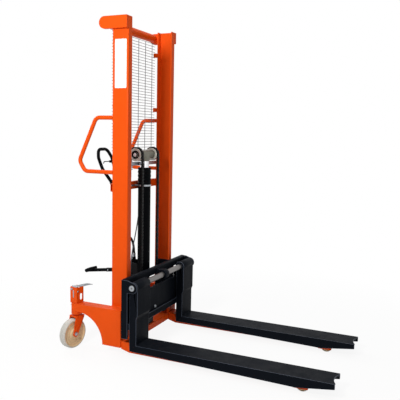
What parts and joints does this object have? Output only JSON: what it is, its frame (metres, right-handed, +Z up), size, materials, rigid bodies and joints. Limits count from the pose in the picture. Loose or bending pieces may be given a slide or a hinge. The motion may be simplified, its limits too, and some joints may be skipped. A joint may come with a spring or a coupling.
{
  "type": "hand pallet stacker",
  "caption": "Manual fixed-mast pallet stacker: hand and foot pump raise a chain-driven fork carriage between two channel masts, on braked swivel casters and load rollers.",
  "frame": {"origin": "on the floor, below the middle of the whole machine", "axes": "+Z up along the masts, +X along the forks towards their tips, +Y to the operator's left when facing the forks"},
  "size_m": [1.719, 0.9114, 1.99],
  "materials": {
    "frame_paint": "gloss",
    "carriage_paint": "satin",
    "cylinder_paint": "satin",
    "pump_casting": "rough",
    "guard_wire": "satin",
    "chrome_rod": "polished",
    "bright_steel": "turned",
    "zinc_plate": "satin",
    "chain_steel": "oiled",
    "roller_steel": "turned",
    "wheel_nylon": "satin",
    "hose_rubber": "matte",
    "return_line": "satin"
  },
  "bodies": {
    "chassis": {"mast_right": "frame_paint", "mast_left": "frame_paint", "base_side_right": "frame_paint", "base_side_left": "frame_paint", "leg_right": "frame_paint", "leg_left": "frame_paint", "base_cross_beam": "frame_paint", "upper_cross_beam": "frame_paint", "top_tube": "frame_paint", "mast_caps": "frame_paint", "grab_handles": "frame_paint", "mesh_guard": "guard_wire", "mesh_brackets": "frame_paint", "pump_block": "pump_casting", "cylinder_barrel": "cylinder_paint", "cylinder_head": "cylinder_paint", "cylinder_clamp": "zinc_plate", "chain_anchor_bar": "zinc_plate", "chain_anchor_bolts": "zinc_plate", "pressure_hose": "hose_rubber", "return_hose": "return_line", "load_roller_axles": "zinc_plate", "chain_rear_runs": "chain_steel"},
    "lift_ram": {"ram": "chrome_rod", "crosshead": "pump_casting", "pulley_axle": "bright_steel", "chain_wraps": "chain_steel", "chain_front_runs": "chain_steel"},
    "carriage": {"carriage_end_plates": "carriage_paint", "carriage_top_bar": "carriage_paint", "carriage_cross_plate": "carriage_paint", "carriage_lower_bar": "carriage_paint", "carriage_roller_plates": "carriage_paint", "fork_shaft": "bright_steel"},
    "tiller_arm": {"tiller": "cylinder_paint"},
    "release_grip": {"release_lever": "cylinder_paint"},
    "pump_plunger": {"pump_piston": "bright_steel"},
    "lift_pedal": {"foot_pedal": "cylinder_paint"},
    "right_pulley": {"chain_pulley_right": "roller_steel"},
    "upper_right_roller": {"guide_roller_upper_right": "roller_steel"},
    "lower_right_roller": {"guide_roller_lower_right": "roller_steel"},
    "right_fork": {"fork_right": "carriage_paint"},
    "right_caster": {"caster_yoke_right": "frame_paint", "caster_axle_right": "zinc_plate", "brake_bracket_right": "frame_paint"},
    "right_wheel": {"caster_wheel_right": "wheel_nylon"},
    "right_brake_pedal": {"brake_pedal_right": "zinc_plate"},
    "right_brake_rod": {"brake_rod_right": "zinc_plate"},
    "right_load_roller": {"load_roller_right": "wheel_nylon"},
    "left_pulley": {"chain_pulley_left": "roller_steel"},
    "upper_left_roller": {"guide_roller_upper_left": "roller_steel"},
    "lower_left_roller": {"guide_roller_lower_left": "roller_steel"},
    "left_fork": {"fork_left": "carriage_paint"},
    "left_caster": {"caster_yoke_left": "frame_paint", "caster_axle_left": "zinc_plate", "brake_bracket_left": "frame_paint"},
    "left_wheel": {"caster_wheel_left": "wheel_nylon"},
    "left_brake_pedal": {"brake_pedal_left": "zinc_plate"},
    "left_brake_rod": {"brake_rod_left": "zinc_plate"},
    "left_load_roller": {"load_roller_left": "wheel_nylon"}
  },
  "joints": [
    {"name": "carriage_lift", "type": "slide", "parent": "chassis", "child": "carriage", "axis": [0, 0, 1], "range_m": [0, 1.51], "deforming": ["chain_front_runs", "chain_rear_runs"]},
    {"name": "ram_lift", "type": "slide", "parent": "chassis", "child": "lift_ram", "axis": [0, 0, 1], "range_m": [0, 0.755]},
    {"name": "tiller_pump", "type": "hinge", "parent": "chassis", "child": "tiller_arm", "pos_m": [-0.575, 0, 0.38], "axis": [0, -1, 0], "range_deg": [0, 50], "stiffness_Nm_per_rad": 40, "springref_deg": -40.11},
    {"name": "piston_stroke", "type": "slide", "parent": "chassis", "child": "pump_plunger", "axis": [0, 0, -1], "range_m": [0, 0.0385]},
    {"name": "release_squeeze", "type": "hinge", "parent": "tiller_arm", "child": "release_grip", "pos_m": [-0.74658, 0.053, 1.13631], "axis": [-0.9367, 0, -0.3502], "range_deg": [0, 15], "stiffness_Nm_per_rad": 0.6, "springref_deg": -20.05},
    {"name": "pedal_press", "type": "hinge", "parent": "chassis", "child": "lift_pedal", "pos_m": [-0.635, -0.0543, 0.438], "axis": [0, -1, 0], "range_deg": [0, 25], "stiffness_Nm_per_rad": 12, "springref_deg": -28.65},
    {"name": "right_pulley_turn", "type": "hinge", "parent": "lift_ram", "child": "right_pulley", "pos_m": [-0.461, -0.101, 1.192], "axis": [0, -1, 0], "range_deg": [0, 1010]},
    {"name": "upper_right_roll", "type": "hinge", "parent": "carriage", "child": "upper_right_roller", "pos_m": [-0.461, -0.27, 0.415], "axis": [0, 1, 0], "range_deg": [0, 1920]},
    {"name": "lower_right_roll", "type": "hinge", "parent": "carriage", "child": "lower_right_roller", "pos_m": [-0.461, -0.27, 0.152], "axis": [0, -1, 0], "range_deg": [0, 1920]},
    {"name": "right_fork_slide", "type": "slide", "parent": "carriage", "child": "right_fork", "axis": [0, 1, 0], "range_m": [0, 0.016]},
    {"name": "right_swivel", "type": "hinge", "parent": "chassis", "child": "right_caster", "pos_m": [-0.7435, -0.3305, 0.24], "axis": [0, 0, 1], "continuous": true},
    {"name": "right_wheel_roll", "type": "hinge", "parent": "right_caster", "child": "right_wheel", "pos_m": [-0.75078, -0.36473, 0.09], "axis": [-0.9781, 0.2079, 0], "continuous": true},
    {"name": "right_brake_press", "type": "hinge", "parent": "right_caster", "child": "right_brake_pedal", "pos_m": [-0.74703, -0.34713, 0.352], "axis": [-0.9781, 0.2079, 0], "range_deg": [0, 12]},
    {"name": "right_rod_press", "type": "slide", "parent": "right_caster", "child": "right_brake_rod", "axis": [0, 0, -1], "range_m": [0, 0.0052]},
    {"name": "right_load_roll", "type": "hinge", "parent": "chassis", "child": "right_load_roller", "pos_m": [0.6845, -0.308, 0.037], "axis": [0, 1, 0], "continuous": true},
    {"name": "left_pulley_turn", "type": "hinge", "parent": "lift_ram", "child": "left_pulley", "pos_m": [-0.461, 0.101, 1.192], "axis": [0, -1, 0], "range_deg": [0, 1010]},
    {"name": "upper_left_roll", "type": "hinge", "parent": "carriage", "child": "upper_left_roller", "pos_m": [-0.461, 0.27, 0.415], "axis": [0, 1, 0], "range_deg": [0, 1920]},
    {"name": "lower_left_roll", "type": "hinge", "parent": "carriage", "child": "lower_left_roller", "pos_m": [-0.461, 0.27, 0.152], "axis": [0, -1, 0], "range_deg": [0, 1920]},
    {"name": "left_fork_slide", "type": "slide", "parent": "carriage", "child": "left_fork", "axis": [0, -1, 0], "range_m": [0, 0.016]},
    {"name": "left_swivel", "type": "hinge", "parent": "chassis", "child": "left_caster", "pos_m": [-0.7435, 0.3305, 0.24], "axis": [0, 0, 1], "continuous": true},
    {"name": "left_wheel_roll", "type": "hinge", "parent": "left_caster", "child": "left_wheel", "pos_m": [-0.75078, 0.36473, 0.09], "axis": [0.9781, 0.2079, 0], "continuous": true},
    {"name": "left_brake_press", "type": "hinge", "parent": "left_caster", "child": "left_brake_pedal", "pos_m": [-0.74703, 0.34713, 0.352], "axis": [0.9781, 0.2079, 0], "range_deg": [0, 12]},
    {"name": "left_rod_press", "type": "slide", "parent": "left_caster", "child": "left_brake_rod", "axis": [0, 0, -1], "range_m": [0, 0.0052]},
    {"name": "left_load_roll", "type": "hinge", "parent": "chassis", "child": "left_load_roller", "pos_m": [0.6845, 0.308, 0.037], "axis": [0, 1, 0], "continuous": true}
  ],
  "couplings": [
    {"joint": "ram_lift", "follows": "carriage_lift", "ratio": 0.5},
    {"joint": "piston_stroke", "follows": "tiller_pump", "m_per_rad": 0.0436},
    {"joint": "right_pulley_turn", "follows": "carriage_lift", "rad_per_m": 11.628},
    {"joint": "upper_right_roll", "follows": "carriage_lift", "rad_per_m": 22.124},
    {"joint": "lower_right_roll", "follows": "carriage_lift", "rad_per_m": 22.124},
    {"joint": "right_rod_press", "follows": "right_brake_press", "m_per_rad": 0.0245},
    {"joint": "left_pulley_turn", "follows": "carriage_lift", "rad_per_m": 11.628},
    {"joint": "upper_left_roll", "follows": "carriage_lift", "rad_per_m": 22.124},
    {"joint": "lower_left_roll", "follows": "carriage_lift", "rad_per_m": 22.124},
    {"joint": "left_rod_press", "follows": "left_brake_press", "m_per_rad": 0.0245}
  ]
}
